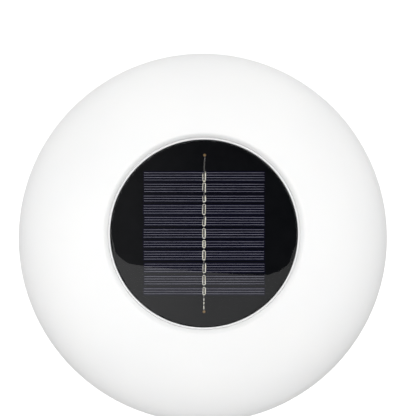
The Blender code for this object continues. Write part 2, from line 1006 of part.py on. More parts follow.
def lens():
    """A frosted dome with a screwed flange, open at the top."""
    count = 6
    top = LAMP_TOP
    outer = [
        (
            31.4 * math.cos(math.radians(90 * i / count)),
            top - 2.2 - 14.5 * math.sin(math.radians(90 * i / count)),
        )
        for i in range(count + 1)
    ]
    outer[-1] = (0.0, outer[-1][1])
    inner = [
        (
            29.8 * math.cos(math.radians(90 * i / count)),
            top - 2.2 - 12.9 * math.sin(math.radians(90 * i / count)),
        )
        for i in range(count, -1, -1)
    ]
    inner[0] = (0.0, inner[0][1])
    profile = (
        [(29.8, top), (38.9, top), (39.3, top - 0.4), (39.3, top - 2.2), (31.6, top - 2.2)]
        + outer[1:]
        + inner[:-1]
        + [(29.8, top - 2.2)]
    )
    # the profile touches the axis twice, so it is spun as two open runs that meet there
    body = lathe("led_lens", raised(profile), FROSTED, 32)
    holes = rods_tool(
        "tool_lens_holes",
        [
            (36.2 * math.cos(math.radians(a)), 36.2 * math.sin(math.radians(a)))
            for a in (90, 210, 330)
        ],
        1.5,
        above(top - 4),
        above(top + 1),
        12,
    )
    cut(body, holes)
    return body


led_lens = lens()
for number, a in enumerate((90, 210, 330), 1):
    screw(
        f"lens_screw_{number}",
        36.2 * math.cos(math.radians(a)),
        36.2 * math.sin(math.radians(a)),
        LAMP_TOP - 2.2 - GAP,
        2.4,
        0.85,
        4.2,
        head_h=1.4,
    )

# ---------------------------------------------------------------- wires
wire(
    "panel_lead_red",
    [
        (2.0, -20.0, above(BOARD_Z - GAP)),
        (2.0, -20.0, above(BOARD_Z - 2.4)),
        (3.0, -20.0, above(PCB_Z + PCB_T + 2.4)),
        (3.4, -20.0, above(PCB_Z + PCB_T + 0.5)),
    ],
    0.8,
    WIRE_RED,
)
wire(
    "panel_lead_black",
    [
        (-2.0, -20.0, above(BOARD_Z - GAP)),
        (-2.0, -20.0, above(BOARD_Z - 2.4)),
        (-3.0, -20.0, above(PCB_Z + PCB_T + 2.4)),
        (-3.4, -20.0, above(PCB_Z + PCB_T + 0.5)),
    ],
    0.8,
    WIRE_BLACK,
)
wire(
    "battery_lead",
    [
        (33.8, -4.4, above(BATTERY_Z - 5.4)),
        (33.6, -9.5, above(BATTERY_Z - 6.2)),
        (30.0, -13.5, above(PCB_Z - 9.0)),
        (25.6, -18.6, above(PCB_Z - 5.5)),
        (25.0, -21.5, above(PCB_Z - GAP)),
    ],
    0.8,
    WIRE_RED,
)
wire(
    "lamp_lead",
    [
        (8.0, -18.0, above(PCB_Z - GAP)),
        (8.4, -18.0, above(PCB_Z - 5.0)),
        (12.6, -18.0, above(COVER_TOP + 7.0)),
        (14.0, -18.0, above(COVER_TOP)),
        (14.0, -18.0, above(LAMP_TOP + GAP)),
    ],
    0.9,
    WIRE_BLACK,
)
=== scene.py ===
"""Looks for the floating solar pool light: fine meshes, procedural materials, soft studio light."""

import json
import math
import random

import bmesh
import bpy
from mathutils import Matrix, Vector


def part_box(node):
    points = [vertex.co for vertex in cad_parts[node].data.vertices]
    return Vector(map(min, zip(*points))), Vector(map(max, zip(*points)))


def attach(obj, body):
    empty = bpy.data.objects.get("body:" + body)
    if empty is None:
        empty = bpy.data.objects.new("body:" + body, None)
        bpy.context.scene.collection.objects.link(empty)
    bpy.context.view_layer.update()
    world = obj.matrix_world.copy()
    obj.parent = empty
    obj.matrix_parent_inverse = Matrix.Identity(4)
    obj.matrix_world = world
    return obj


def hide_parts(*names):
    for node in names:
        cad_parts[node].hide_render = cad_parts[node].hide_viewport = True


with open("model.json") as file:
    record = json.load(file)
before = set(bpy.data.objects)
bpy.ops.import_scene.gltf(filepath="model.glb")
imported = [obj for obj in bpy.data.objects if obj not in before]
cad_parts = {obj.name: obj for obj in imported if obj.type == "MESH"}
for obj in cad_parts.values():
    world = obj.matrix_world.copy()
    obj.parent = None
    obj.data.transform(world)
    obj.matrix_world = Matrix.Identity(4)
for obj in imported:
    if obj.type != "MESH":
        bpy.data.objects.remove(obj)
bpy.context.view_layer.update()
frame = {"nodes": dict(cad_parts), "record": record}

MM = 0.001
ZC = math.sqrt(175.0**2 - 50.0**2)  # ball centre above the base, mm
GLOBE_R = 175.0
RND = random.Random(17)
COLLECTION = bpy.context.scene.collection


def above(z):
    return ZC + z


# ================================================================ materials
def new_material(name):
    mat = bpy.data.materials.new(name)
    mat.use_nodes = True
    tree = mat.node_tree
    tree.nodes.clear()
    out = tree.nodes.new("ShaderNodeOutputMaterial")
    bsdf = tree.nodes.new("ShaderNodeBsdfPrincipled")
    tree.links.new(bsdf.outputs["BSDF"], out.inputs["Surface"])
    return mat, tree, bsdf


def coords(tree, scale=(1, 1, 1)):
    tc = tree.nodes.new("ShaderNodeTexCoord")
    mp = tree.nodes.new("ShaderNodeMapping")
    mp.inputs["Scale"].default_value = scale
    tree.links.new(tc.outputs["Object"], mp.inputs["Vector"])
    return mp.outputs["Vector"]


def noise_fac(tree, vec, scale, detail=3.0, rough=0.5):
    n = tree.nodes.new("ShaderNodeTexNoise")
    n.inputs["Scale"].default_value = scale
    n.inputs["Detail"].default_value = detail
    n.inputs["Roughness"].default_value = rough
    tree.links.new(vec, n.inputs["Vector"])
    return n.outputs["Fac"]


def remap(tree, fac, lo, hi, from_lo=0.3, from_hi=0.7):
    m = tree.nodes.new("ShaderNodeMapRange")
    m.inputs["From Min"].default_value = from_lo
    m.inputs["From Max"].default_value = from_hi
    m.inputs["To Min"].default_value = lo
    m.inputs["To Max"].default_value = hi
    tree.links.new(fac, m.inputs["Value"])
    return m.outputs["Result"]


def mix_colour(tree, fac, a, b):
    m = tree.nodes.new("ShaderNodeMix")
    m.data_type = "RGBA"
    for socket, value in ((m.inputs[6], a), (m.inputs[7], b)):
        if isinstance(value, tuple):
            socket.default_value = (*value, 1.0)
        else:
            tree.links.new(value, socket)
    tree.links.new(fac, m.inputs[0])
    return m.outputs[2]


def bump(tree, bsdf, height, distance, strength=1.0, previous=None):
    b = tree.nodes.new("ShaderNodeBump")
    b.inputs["Strength"].default_value = strength
    b.inputs["Distance"].default_value = distance
    tree.links.new(height, b.inputs["Height"])
    if previous is not None:
        tree.links.new(previous, b.inputs["Normal"])
    tree.links.new(b.outputs["Normal"], bsdf.inputs["Normal"])
    return b.outputs["Normal"]


def surface(
    name,
    colour,
    rough,
    metallic=0.0,
    vary=0.06,
    vary_scale=60.0,
    rough_vary=0.06,
    rough_scale=400.0,
    bump_scale=900.0,
    bump_mm=0.0,
    ior=1.5,
    stretch=(1, 1, 1),
    coat=0.0,
    edge=None,
):
    """A Principled surface whose colour drifts slowly, whose gloss drifts finely and whose relief is fine noise."""
    mat, tree, bsdf = new_material(name)
    vec = coords(tree, stretch)
    dark = tuple(max(0.0, c * (1 - vary)) for c in colour)
    light = tuple(min(1.0, c * (1 + vary)) for c in colour)
    col = mix_colour(tree, remap(tree, noise_fac(tree, vec, vary_scale), 0, 1), dark, light)
    tree.links.new(col, bsdf.inputs["Base Color"])
    r = remap(
        tree,
        noise_fac(tree, vec, rough_scale, 4.0),
        max(0.02, rough - rough_vary),
        min(1.0, rough + rough_vary),
    )
    tree.links.new(r, bsdf.inputs["Roughness"])
    bsdf.inputs["Metallic"].default_value = metallic
    bsdf.inputs["IOR"].default_value = ior
    bsdf.inputs["Coat Weight"].default_value = coat
    if bump_mm > 0:
        bump(tree, bsdf, noise_fac(tree, vec, bump_scale, 3.0), bump_mm * MM)
    return mat


def globe_material():
    """Rotomoulded polyethylene: milky white, satin, with a fine pebble from the mould and a slow waviness."""
    mat, tree, bsdf = new_material("globe_polyethylene")
    vec = coords(tree)
    cloud = remap(tree, noise_fac(tree, vec, 14.0, 2.0), 0, 1)
    col = mix_colour(tree, cloud, (0.775, 0.777, 0.776), (0.790, 0.790, 0.786))
    tree.links.new(col, bsdf.inputs["Base Color"])
    r = remap(tree, noise_fac(tree, vec, 240.0, 4.0), 0.40, 0.50)
    tree.links.new(r, bsdf.inputs["Roughness"])
    bsdf.inputs["IOR"].default_value = 1.51
    bsdf.inputs["Specular IOR Level"].default_value = 0.4
    bsdf.inputs["Subsurface Weight"].default_value = 0.25
    bsdf.inputs["Subsurface Radius"].default_value = (1.0, 0.95, 0.88)
    bsdf.inputs["Subsurface Scale"].default_value = 0.003
    wave = bump(tree, bsdf, noise_fac(tree, vec, 22.0, 2.0), 0.00035)
    bump(tree, bsdf, noise_fac(tree, vec, 620.0, 3.0), 0.00004, previous=wave)
    return mat


def board_material():
    """Black solder mask over woven glass: a barely visible weave in the gloss."""
    mat, tree, bsdf = new_material("panel_black")
    vec = coords(tree)
    col = mix_colour(
        tree,
        remap(tree, noise_fac(tree, vec, 90.0, 3.0), 0, 1),
        (0.0028, 0.0032, 0.0042),
        (0.0044, 0.0048, 0.0060),
    )
    tree.links.new(col, bsdf.inputs["Base Color"])
    wx = tree.nodes.new("ShaderNodeTexWave")
    wx.wave_type = "BANDS"
    wx.bands_direction = "X"
    wx.inputs["Scale"].default_value = 320.0
    wy = tree.nodes.new("ShaderNodeTexWave")
    wy.wave_type = "BANDS"
    wy.bands_direction = "Y"
    wy.inputs["Scale"].default_value = 320.0
    tree.links.new(vec, wx.inputs["Vector"])
    tree.links.new(vec, wy.inputs["Vector"])
    both = tree.nodes.new("ShaderNodeMath")
    both.operation = "MULTIPLY"
    tree.links.new(wx.outputs["Fac"], both.inputs[0])
    tree.links.new(wy.outputs["Fac"], both.inputs[1])
    r = remap(tree, both.outputs[0], 0.34, 0.42, 0.0, 1.0)
    tree.links.new(r, bsdf.inputs["Roughness"])
    bump(tree, bsdf, both.outputs[0], 0.00001)
    bsdf.inputs["IOR"].default_value = 1.5
    bsdf.inputs["Specular IOR Level"].default_value = 0.03
    return mat


def silicon_material():
    """Blue-black antireflection coat. The strips differ a little, through the mesh attribute tone."""
    mat, tree, bsdf = new_material("cell_silicon")
    vec = coords(tree)
    tone = tree.nodes.new("ShaderNodeAttribute")
    tone.attribute_name = "tone"
    base = mix_colour(tree, tone.outputs["Fac"], (0.0016, 0.0018, 0.0068), (0.0038, 0.0040, 0.0140))
    streak = coords(tree, (6.0, 60.0, 1.0))
    fac = remap(tree, noise_fac(tree, streak, 9.0, 3.0), 0.0, 0.35)
    col = mix_colour(tree, fac, base, (0.0065, 0.0065, 0.0190))
    tree.links.new(col, bsdf.inputs["Base Color"])
    r = remap(tree, noise_fac(tree, vec, 300.0, 3.0), 0.30, 0.40)
    tree.links.new(r, bsdf.inputs["Roughness"])
    bsdf.inputs["IOR"].default_value = 1.5
    bsdf.inputs["Specular IOR Level"].default_value = 0.06
    return mat


def resin_material():
    """Water-clear epoxy."""
    mat, tree, bsdf = new_material("clear_resin")
    bsdf.inputs["Base Color"].default_value = (1.0, 1.0, 1.0, 1.0)
    bsdf.inputs["Transmission Weight"].default_value = 1.0
    bsdf.inputs["IOR"].default_value = 1.56
    vec = coords(tree)
    r = remap(tree, noise_fac(tree, vec, 40.0, 2.0), 0.004, 0.008)
    tree.links.new(r, bsdf.inputs["Roughness"])
    return mat


GLOBE = globe_material()
WHITE_ABS = surface("white_abs", (0.725, 0.727, 0.728), 0.34, vary=0.01, bump_mm=0.006, bump_scale=500)
BOARD = board_material()
SILICON = silicon_material()
FINGER = surface("silver_print", (0.40, 0.40, 0.48), 0.55, metallic=0.6, vary=0.18, vary_scale=260, stretch=(0.2, 1, 1))
PASTE = surface("silver_paste", (0.97, 0.92, 0.71), 0.50, metallic=0.05, vary=0.30, vary_scale=420, bump_mm=0.05, bump_scale=1400)
TAPE = surface("tinned_tape", (0.27, 0.27, 0.26), 0.20, metallic=1.0, vary=0.35, vary_scale=260, stretch=(1, 0.5, 1), bump_mm=0.03, bump_scale=500)
SOLDER = surface("solder", (0.55, 0.36, 0.17), 0.32, metallic=0.8, vary=0.25, vary_scale=900, bump_mm=0.02)
RESIN = resin_material()
SILICONE = surface("silicone_grey", (0.36, 0.37, 0.38), 0.62, vary=0.05, bump_mm=0.01)
IRON = surface("ballast_iron", (0.035, 0.036, 0.040), 0.62, metallic=0.4, vary=0.3, vary_scale=120, bump_mm=0.12, bump_scale=420)
STEEL = surface("stainless_steel", (0.60, 0.60, 0.61), 0.28, metallic=1.0, vary=0.06, rough_vary=0.08, bump_mm=0.004)
BLACK_ABS = surface("black_abs", (0.022, 0.022, 0.024), 0.48, vary=0.15, bump_mm=0.02, bump_scale=1100)
GREEN = surface("board_green", (0.010, 0.105, 0.040), 0.30, vary=0.2, vary_scale=140, bump_mm=0.008, bump_scale=1600)
CHIP = surface("component_black", (0.015, 0.015, 0.016), 0.55, vary=0.2, bump_mm=0.01, bump_scale=1600)
CAN = surface("aluminium_can", (0.62, 0.62, 0.63), 0.30, metallic=1.0, vary=0.05)
WRAP = surface("battery_wrap", (0.025, 0.13, 0.42), 0.28, vary=0.08, bump_mm=0.01, bump_scale=160)
LAMP_WHITE = surface("lamp_board_white", (0.80, 0.81, 0.82), 0.35, vary=0.02, bump_mm=0.005)
PHOSPHOR = surface("led_phosphor", (0.86, 0.66, 0.10), 0.45, vary=0.12, vary_scale=900)
LED_CASE = surface("led_case", (0.85, 0.85, 0.84), 0.40, vary=0.02)
RUBBER = surface("button_rubber", (0.17, 0.18, 0.19), 0.62, vary=0.1, bump_mm=0.015, bump_scale=1300)
RED = surface("wire_red", (0.50, 0.012, 0.010), 0.38, vary=0.08)
BLACK_WIRE = surface("wire_black", (0.012, 0.012, 0.013), 0.40, vary=0.1)


def frosted_material():
    mat, tree, bsdf = new_material("frosted_lens")
    vec = coords(tree)
    bsdf.inputs["Base Color"].default_value = (0.90, 0.92, 0.94, 1.0)
    bsdf.inputs["Transmission Weight"].default_value = 0.55
    bsdf.inputs["IOR"].default_value = 1.49
    r = remap(tree, noise_fac(tree, vec, 900.0, 3.0), 0.42, 0.55)
    tree.links.new(r, bsdf.inputs["Roughness"])
    bump(tree, bsdf, noise_fac(tree, vec, 1500.0, 2.0), 0.00003)
    return mat


FROSTED = frosted_material()


# ================================================================ mesh helpers
def fillet(points, segments=6):
    """(r, z) or (r, z, fillet radius) corners become a polyline with round corners. A closed loop."""
    out = []
    n = len(points)
    for i, p in enumerate(points):
        here = Vector(p[:2])
        radius = p[2] if len(p) > 2 else 0.0
        if radius <= 0:
            out.append(tuple(here))
            continue
        before = Vector(points[i - 1][:2])
        after = Vector(points[(i + 1) % n][:2])
        u = (before - here).normalized()
        w = (after - here).normalized()
        angle = math.acos(max(-1.0, min(1.0, u.dot(w))))
        if angle > math.pi - 0.02:
            out.append(tuple(here))
            continue
        reach = radius / math.tan(angle / 2)
        centre = here + (u + w).normalized() * (radius / math.sin(angle / 2))
        a = here + u * reach
        b = here + w * reach
        va, vb = a - centre, b - centre
        turn = math.atan2(va.x * vb.y - va.y * vb.x, va.dot(vb))
        for k in range(segments + 1):
            t = turn * k / segments
            c, s = math.cos(t), math.sin(t)
            out.append(
                (centre.x + va.x * c - va.y * s, centre.y + va.x * s + va.y * c)
            )
    return out


def arc(radius, polar_from, polar_to, count, zc=ZC):
    """Points of a ball's section, from one polar angle to another, in degrees from straight down."""
    out = []
    for i in range(count + 1):
        a = math.radians(polar_from + (polar_to - polar_from) * i / count)
        out.append((radius * math.sin(a), zc - radius * math.cos(a)))
    return out


def lathe_mesh(bm, profile, steps=96, closed=True, at=(0.0, 0.0)):
    """Adds a turned solid to bm, in mm. An open profile starts and ends on the axis."""
    rings = []
    for r, z in profile:
        if r < 1e-6:
            rings.append([bm.verts.new((at[0], at[1], z))])
        else:
            rings.append(
                [
                    bm.verts.new(
                        (
                            at[0] + r * math.cos(math.tau * k / steps),
                            at[1] + r * math.sin(math.tau * k / steps),
                            z,
                        )
                    )
                    for k in range(steps)
                ]
            )
    pairs = list(zip(rings, rings[1:]))
    if closed:
        pairs.append((rings[-1], rings[0]))
    faces = []
    for a, b in pairs:
        for k in range(steps):
            j = (k + 1) % steps
            if len(a) == 1 and len(b) == 1:
                continue
            if len(a) == 1:
                corners = (a[0], b[k], b[j])
            elif len(b) == 1:
                corners = (a[k], b[0], a[j])
            else:
                corners = (a[k], b[k], b[j], a[j])
            faces.append(bm.faces.new(corners))
    return faces


def finish(bm, name, *mats, sharp=40.0, node=None, body=None, slot=None, smooth=True):
    """bm, in mm, becomes a piece in metres that stands for its CAD node and rides on that node's body."""
    bmesh.ops.recalc_face_normals(bm, faces=bm.faces)
    if bm.calc_volume(signed=True) < 0:
        bmesh.ops.reverse_faces(bm, faces=bm.faces)
    bmesh.ops.scale(bm, vec=(MM, MM, MM), verts=bm.verts)
    mesh = bpy.data.meshes.new(name)
    bm.to_mesh(mesh)
    bm.free()
    for mat in mats:
        mesh.materials.append(mat)
    if smooth:
        mesh.shade_smooth()
        mesh.set_sharp_from_angle(angle=math.radians(sharp))
    piece = bpy.data.objects.new(name, mesh)
    COLLECTION.objects.link(piece)
    place(piece, node, body, slot)
    return piece


BODY_OF = {n: b for b, ns in frame["record"]["behaviour"]["bodies"].items() for n in ns}
SLOT_OF = {s["node"]: s["material_slot"] for s in frame["record"]["subparts"]}


def place(piece, node=None, body=None, slot=None):
    if node is not None:
        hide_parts(node)
        body = body or BODY_OF[node]
        slot = slot or SLOT_OF[node]
    if body is not None:
        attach(piece, body)


def lathe(name, profile, mat, steps=96, closed=True, at=(0.0, 0.0), **kw):
    bm = bmesh.new()
    lathe_mesh(bm, profile, steps, closed, at)
    return finish(bm, name, mat, **kw)


def add_box(bm, low, high, bevel=0.0, segments=2):
    made = bmesh.ops.create_cube(bm, size=1.0)["verts"]
    size = [h - l for l, h in zip(low, high)]
    mid = [(h + l) / 2 for l, h in zip(low, high)]
    bmesh.ops.scale(bm, vec=size, verts=made)
    bmesh.ops.translate(bm, vec=mid, verts=made)
    if bevel > 0:
        edges = list({e for v in made for e in v.link_edges})
        bmesh.ops.bevel(
            bm,
            geom=edges,
            offset=bevel,
            segments=segments,
            profile=0.5,
            affect="EDGES",
            clamp_overlap=True,
        )


def raised(profile):
    return [(p[0], above(p[1]), *p[2:]) for p in profile]


# ================================================================ globe
def make_globe():
    """The ball with its base, the recess for the cap, the mouth, and a fine parting line round the equator."""
    ring = []
    start = math.degrees(math.asin(54.0 / GLOBE_R))
    end = 180.0 - math.degrees(math.asin(CROWN_R / GLOBE_R))
    base = fillet(
        [
            (4.8, BOSS_TOP),
            (4.8, 7.0, 0.5),
            (22.0, 7.0, 2.2),
            (23.2, 0.0, 1.3),
            (46.5, 0.0, 9.0),
            arc(GLOBE_R, start, start + 1, 1)[0],
        ],
        7,
    )
    ring += base[1:-1]
    lower = arc(GLOBE_R, start, 89.7, 60)
    upper = arc(GLOBE_R, 90.3, end, 60)
    seam = [(GLOBE_R + 0.04, ZC - 0.30), (GLOBE_R + 0.07, ZC), (GLOBE_R + 0.04, ZC + 0.30)]
    ring += lower + seam + upper
    crown_z = math.sqrt(GLOBE_R**2 - CROWN_R**2)
    recess = fillet(
        raised(
            [
                (CROWN_R, crown_z),
                (81.0, crown_z + (CROWN_R - 81.0) * CROWN_R / crown_z, 4.0),
                (RECESS_R, 154.9, 1.3),
                (RECESS_R, SEAT, 0.5),
                (MOUTH_R, SEAT, 0.4),
                (MOUTH_R, SEAT - WALL, 0.3),
                (79.8, SEAT - WALL, 1.2),
                (79.8, 151.6, 1.2),
                (84.0, math.sqrt((GLOBE_R - WALL) ** 2 - 84.0**2)),
            ]
        ),
        7,
    )
    ring += recess[1:]
    inner_start = 180.0 - math.degrees(math.asin(84.6 / (GLOBE_R - WALL)))
    inner_end = math.degrees(math.asin(55.0 / (GLOBE_R - WALL)))
    ring += arc(GLOBE_R - WALL, inner_start, inner_end, 60)
    floor = fillet(
        [
            (55.0, 3.6),
            (50.0, WALL, 3.0),
            (26.6, WALL, 1.6),
            (25.0, BOSS_TOP, 1.4),
            (4.8, BOSS_TOP),
        ],
        5,
    )
    ring += floor[1:]
    bm = bmesh.new()
    lathe_mesh(bm, ring, 224)
    return finish(bm, "globe", GLOBE, sharp=50, node="globe_shell")


BOSS_TOP = 10.0
WALL = 2.8
SEAT = 148.6
MOUTH_R = 66.4
CROWN_R, RECESS_R = 83.4, 76.75
LEAD, LUG_SPAN, LUG_T, CAP_LUG_Z, LUG_PLAY = 18.0, 50.0, 2.6, 139.0, 0.4
FLANGE_TOP, DECK_UNDER, DECK_TOP, RIM_TOP = 150.7, 153.4, 155.2, 159.5

globe = make_globe()


# ================================================================ lugs and Boolean helpers
def lugs_bm(inner, outer, middle_z):
    """Three helical lugs of rectangular section, with flat ends."""
    bm = bmesh.new()
    steps = 20
    for k in range(3):
        rings = []
        for i in range(steps + 1):
            offset = -LUG_SPAN / 2 + LUG_SPAN * i / steps
            angle = math.radians(120.0 * k + offset)
            z = above(middle_z + LEAD * offset / 360.0)
            rings.append(
                [
                    bm.verts.new((r * math.cos(angle), r * math.sin(angle), z + dz))
                    for r, dz in (
                        (inner, -LUG_T / 2),
                        (outer, -LUG_T / 2),
                        (outer, LUG_T / 2),
                        (inner, LUG_T / 2),
                    )
                ]
            )
        for a, b in zip(rings, rings[1:]):
            for j in range(4):
                bm.faces.new((a[j], a[(j + 1) % 4], b[(j + 1) % 4], b[j]))
        bm.faces.new(rings[0])
        bm.faces.new(reversed(rings[-1]))
    return bm


def tool(bm):
    bmesh.ops.recalc_face_normals(bm, faces=bm.faces)
    if bm.calc_volume(signed=True) < 0:
        bmesh.ops.reverse_faces(bm, faces=bm.faces)
    bmesh.ops.scale(bm, vec=(MM, MM, MM), verts=bm.verts)
    mesh = bpy.data.meshes.new("tool")
    bm.to_mesh(mesh)
    bm.free()
    made = bpy.data.objects.new("tool", mesh)
    COLLECTION.objects.link(made)
    return made


def rods(places, radius, low, high, steps=24):
    bm = bmesh.new()
    for x, y in places:
        lathe_mesh(bm, [(0, low), (radius, low), (radius, high), (0, high)], steps, False, (x, y))
    return bm


def carve(piece, steps, sharp=40.0):
    """Applies Boolean steps, (operation, tool) in order, and leaves a plain mesh."""
    tools = []
    for operation, bm in steps:
        other = tool(bm)
        m = piece.modifiers.new("bool", "BOOLEAN")
        m.operation = operation
        m.solver = "EXACT"
        m.object = other
        tools.append(other)
    bpy.context.view_layer.update()
    graph = bpy.context.evaluated_depsgraph_get()
    mesh = bpy.data.meshes.new_from_object(piece.evaluated_get(graph))
    piece.modifiers.clear()
    piece.data = mesh
    for other in tools:
        bpy.data.objects.remove(other)
    bm = bmesh.new()
    bm.from_mesh(mesh)
    bmesh.ops.remove_doubles(bm, verts=bm.verts, dist=2e-7)
    bmesh.ops.recalc_face_normals(bm, faces=bm.faces)
    bm.to_mesh(mesh)
    bm.free()
    mesh.shade_smooth()
    mesh.set_sharp_from_angle(angle=math.radians(sharp))
    return piece


# ================================================================ neck ring, seal, ballast
neck = lathe(
    "neck",
    fillet(
        raised(
            [
                (62.6, 131.6, 0.3),
                (66.0, 131.6, 0.8),
                (66.0, 148.9),
                (72.5, 148.9, 0.3),
                (72.5, FLANGE_TOP, 0.5),
                (62.6, FLANGE_TOP, 0.8),
            ]
        ),
        4,
    ),
    WHITE_ABS,
    160,
    node="neck_ring",
)
carve(neck, [("UNION", lugs_bm(60.2, 63.3, CAP_LUG_Z + LUG_T + LUG_PLAY))])

lathe(
    "seal_ring",
    [
        (
            68.0 + 1.05 * math.cos(math.tau * i / 20),
            above((FLANGE_TOP + DECK_UNDER) / 2) + 1.05 * math.sin(math.tau * i / 20),
        )
        for i in range(20)
    ],
    SILICONE,
    160,
    node="cap_seal",
    sharp=60,
)

lathe(
    "ballast",
    fillet(
        [
            (5.0, 10.3, 0.4),
            (46.0, 10.3, 1.6),
            (46.0, 22.3, 2.2),
            (30.0, 22.3),
            (29.2, 21.9, 0.4),
            (28.4, 22.3),
            (5.0, 22.3, 0.6),
        ],
        4,
    ),
    IRON,
    128,
    node="ballast_disc",
)


def bolt():
    """A button-head bolt with a hexagon socket, seen in the base's recess, and a plain shank."""
    shape = fillet(
        [
            (0, 0.9),
            (3.6, 0.9),
            (5.6, 0.9, 0.9),
            (7.2, 2.2, 0.7),
            (7.2, 4.4, 0.3),
            (4.0, 4.4),
            (4.0, 31.2),
            (3.3, 32.0),
            (0, 32.0),
        ],
        5,
    )
    piece = lathe("bolt", shape, STEEL, 72, False, node="ballast_bolt")
    socket = bmesh.new()
    low = [
        socket.verts.new((2.9 * math.cos(math.tau * k / 6), 2.9 * math.sin(math.tau * k / 6), 0.5))
        for k in range(6)
    ]
    high = [socket.verts.new((v.co.x, v.co.y, 3.1)) for v in low]
    socket.faces.new(low)
    socket.faces.new(reversed(high))
    for k in range(6):
        j = (k + 1) % 6
        socket.faces.new((low[k], high[k], high[j], low[j]))
    return carve(piece, [("DIFFERENCE", socket)], sharp=30)


bolt()
lathe(
    "bolt_seal",
    fillet([(4.4, 4.7, 0.3), (12.0, 4.7, 0.9), (12.0, 6.7, 0.6), (4.4, 6.7, 0.3)], 5),
    SILICONE,
    72,
    node="sealing_washer",
)
top = 22.3
lathe(
    "nut_washer",
    fillet([(4.4, top + 0.3, 0.15), (12.0, top + 0.3, 0.25), (12.0, top + 1.9, 0.25), (4.4, top + 1.9, 0.15)], 3),
    STEEL,
    72,
    node="ballast_washer",
)


def nut():
    low, high, af = top + 2.2, top + 8.7, 13.0
    corner = af / 2 / math.cos(math.pi / 6)
    shape = fillet(
        [(4.3, low, 0.4), (af / 2, low), (corner + 0.05, low + 1.0), (corner + 0.05, high - 1.0), (af / 2, high), (4.3, high, 0.4)],
        3,
    )
    piece = lathe("nut", shape, STEEL, 72, node="ballast_nut")
    hexagon = bmesh.new()
    a = [
        hexagon.verts.new((corner * math.cos(math.tau * k / 6 + 0.001), corner * math.sin(math.tau * k / 6 + 0.001), low - 1))
        for k in range(6)
    ]
    b = [hexagon.verts.new((v.co.x, v.co.y, high + 1)) for v in a]
    hexagon.faces.new(a)
    hexagon.faces.new(reversed(b))
    for k in range(6):
        j = (k + 1) % 6
        hexagon.faces.new((a[k], b[k], b[j], a[j]))
    return carve(piece, [("INTERSECT", hexagon)], sharp=30)


nut()

# ================================================================ cap housing
cap = lathe(
    "cap",
    fillet(
        raised(
            [
                (0, DECK_TOP),
                (75.3, DECK_TOP, 0.3),
                (75.3, RIM_TOP, 0.25),
                (76.5, RIM_TOP, 0.55),
                (76.5, 151.6, 0.4),
                (74.0, 151.6, 0.3),
                (74.0, DECK_UNDER, 0.5),
                (59.6, DECK_UNDER, 0.8),
                (59.6, 129.0, 0.5),
                (57.2, 129.0, 0.2),
                (57.2, DECK_UNDER, 0.6),
                (0, DECK_UNDER),
            ]
        ),
        5,
    ),
    WHITE_ABS,
    256,
    False,
    node="cap_housing",
)
posts = [
    (53.2 * math.cos(math.radians(a)), 53.2 * math.sin(math.radians(a)))
    for a in (45, 135, 225, 315)
]
standoffs = [(-26.0, -14.0), (26.0, -35.0)]
carve(
    cap,
    [
        ("UNION", lugs_bm(58.9, 61.8, CAP_LUG_Z)),
        ("UNION", rods(posts, 3.6, above(128.0), above(154.3))),
        ("UNION", rods(standoffs, 2.8, above(148.9), above(154.3))),
        ("DIFFERENCE", rods(posts, 1.5, above(126.7), above(140.7))),
        ("DIFFERENCE", rods(standoffs, 1.15, above(147.6), above(153.0))),
        ("DIFFERENCE", rods([(0.0, -20.0)], 5.0, above(151.0), above(157.2))),
    ],
)

# ================================================================ solar panel
BOARD_TOP = 157.1
CELL_LOW = 157.4
lathe(
    "solar_board",
    fillet(
        raised([(0, 155.5), (75.0, 155.5, 0.15), (75.0, BOARD_TOP, 0.2), (0, BOARD_TOP)]),
        3,
    ),
    BOARD,
    192,
    False,
    node="panel_board",
)

FINGERS = (4, 4, 3, 4, 4, 4, 3, 4, 4, 4, 3)
PITCH, MARGIN, CELL_W, CELL_T = 1.96, 0.9, 97.6, 0.25


